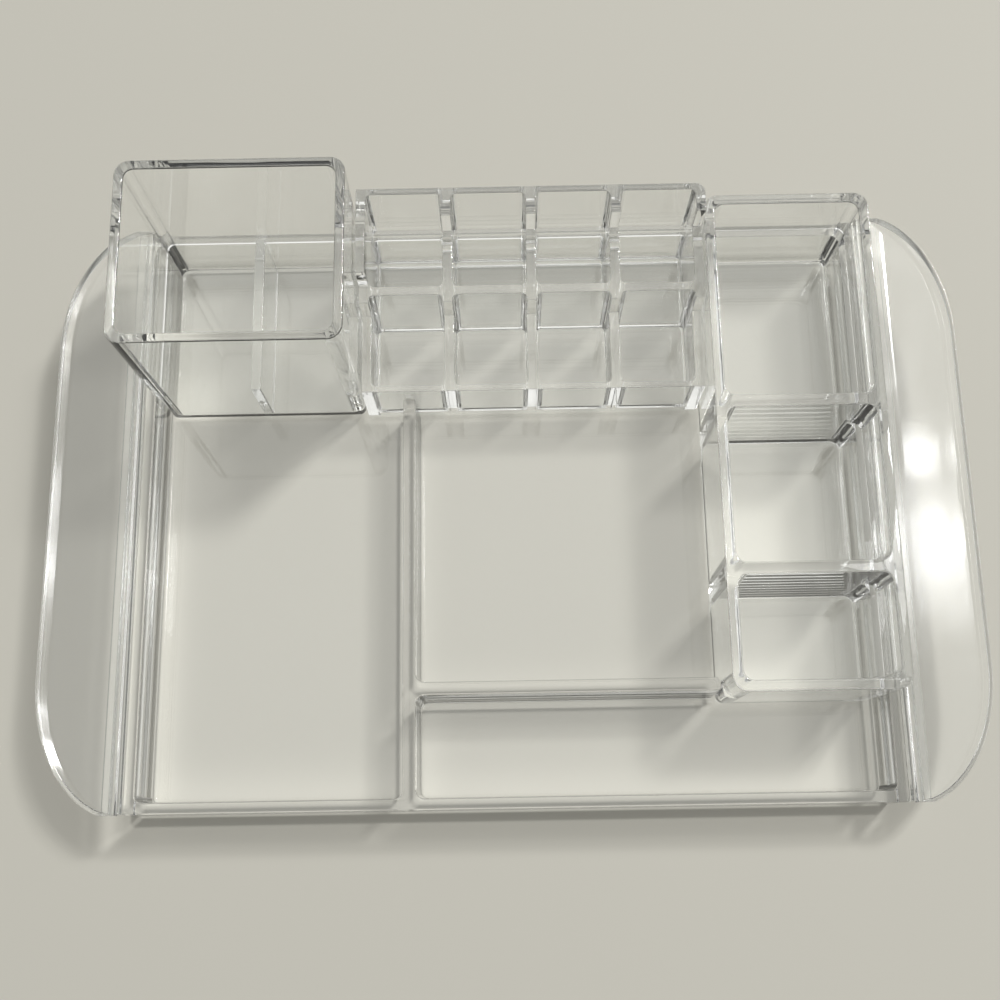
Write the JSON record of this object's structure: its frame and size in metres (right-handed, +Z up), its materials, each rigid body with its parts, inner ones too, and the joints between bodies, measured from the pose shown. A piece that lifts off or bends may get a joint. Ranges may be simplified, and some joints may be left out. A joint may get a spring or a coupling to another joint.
{
  "type": "vanity organizer",
  "caption": "Clear plastic vanity organizer: shallow pocket tray with D-shaped side wings, a tall brush box, a stepped lipstick rack and a column of open boxes.",
  "frame": {"origin": "middle of the footprint, on the table plane under the tray", "axes": "+X to the user's right, +Y to the back, +Z up"},
  "size_m": [0.315, 0.205, 0.079],
  "materials": {
    "clear_tray": "clear, polished",
    "clear_wing": "clear, polished",
    "clear_box": "clear, polished",
    "clear_divider": "clear, polished"
  },
  "bodies": {
    "root": {"base_tray": "clear_tray", "left_wing": "clear_wing", "right_wing": "clear_wing", "brush_box": "clear_box", "brush_divider": "clear_divider", "lipstick_rack": "clear_box", "rack_mid_wall": "clear_divider", "back_divider_1": "clear_divider", "back_divider_2": "clear_divider", "back_divider_3": "clear_divider", "front_divider_1": "clear_divider", "front_divider_2": "clear_divider", "front_divider_3": "clear_divider", "right_column": "clear_box"}
  },
  "joints": []
}
